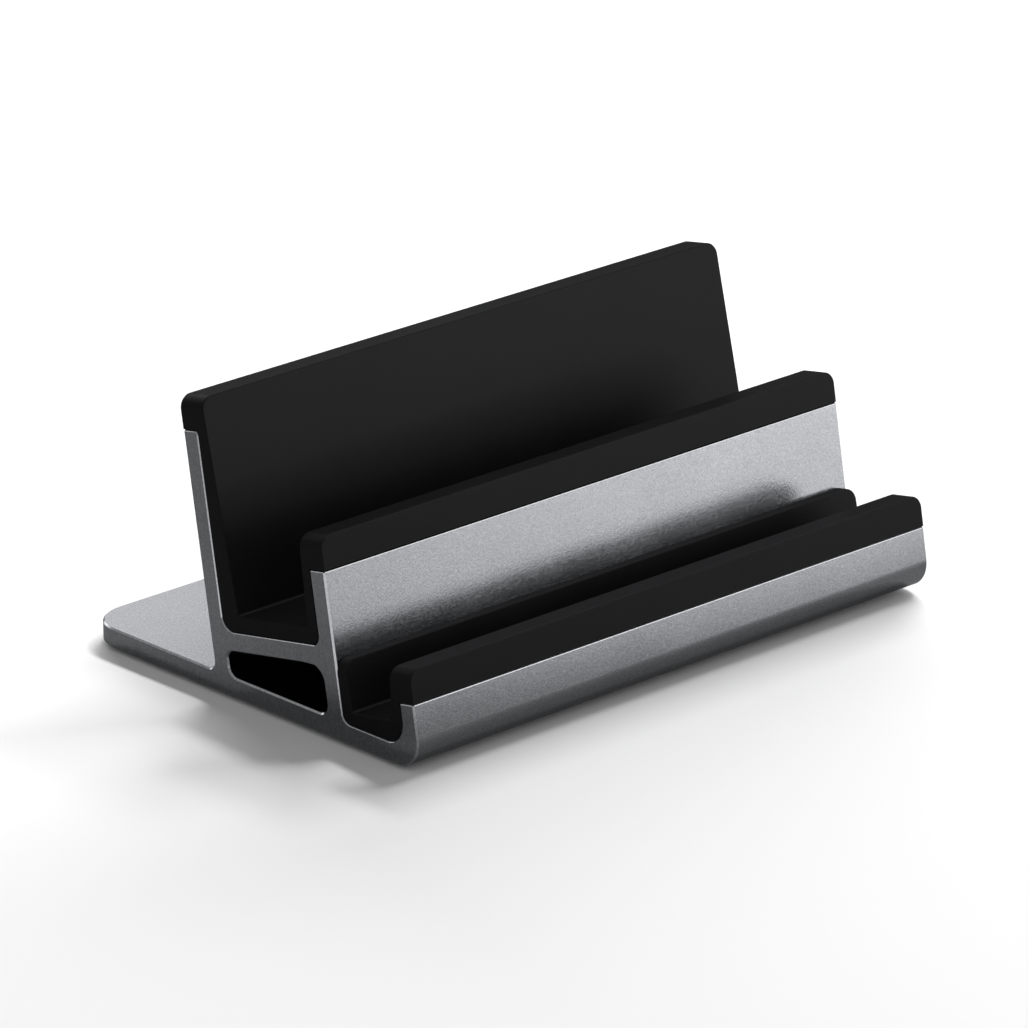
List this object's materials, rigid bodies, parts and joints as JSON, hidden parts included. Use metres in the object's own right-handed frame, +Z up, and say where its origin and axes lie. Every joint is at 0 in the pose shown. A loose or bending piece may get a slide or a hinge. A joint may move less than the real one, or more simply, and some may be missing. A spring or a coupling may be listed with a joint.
{
  "type": "vertical laptop stand with two slots",
  "caption": "Leaning aluminium desk stand with a wide silicone-lined slot for a closed laptop and a narrow one in front for a tablet or phone.",
  "frame": {"origin": "on the desk plane, under the middle of the footprint", "axes": "+X along the extrusion, to the right seen from the front; -Y towards the low front lip; +Z up"},
  "size_m": [0.146, 0.1016, 0.0631],
  "materials": {
    "anodised_aluminium": "bead-blasted and anodised grey, satin, with thin bright machined chamfers round the end faces",
    "liner_silicone": "moulded black silicone, fine matte skin with a soft sheen",
    "foot_silicone": "matte black silicone",
    "adhesive_tape": "thin double-sided adhesive tape, translucent white, hidden in use"
  },
  "bodies": {
    "root": {"frame": "anodised_aluminium", "laptop_slot_liner": "liner_silicone", "tablet_slot_liner": "liner_silicone", "front_foot_strip": "foot_silicone", "rear_foot_strip": "foot_silicone", "front_foot_tape": "adhesive_tape", "rear_foot_tape": "adhesive_tape", "laptop_liner_floor_tape": "adhesive_tape", "laptop_liner_wall_tape": "adhesive_tape", "tablet_liner_tape": "adhesive_tape"}
  },
  "joints": []
}
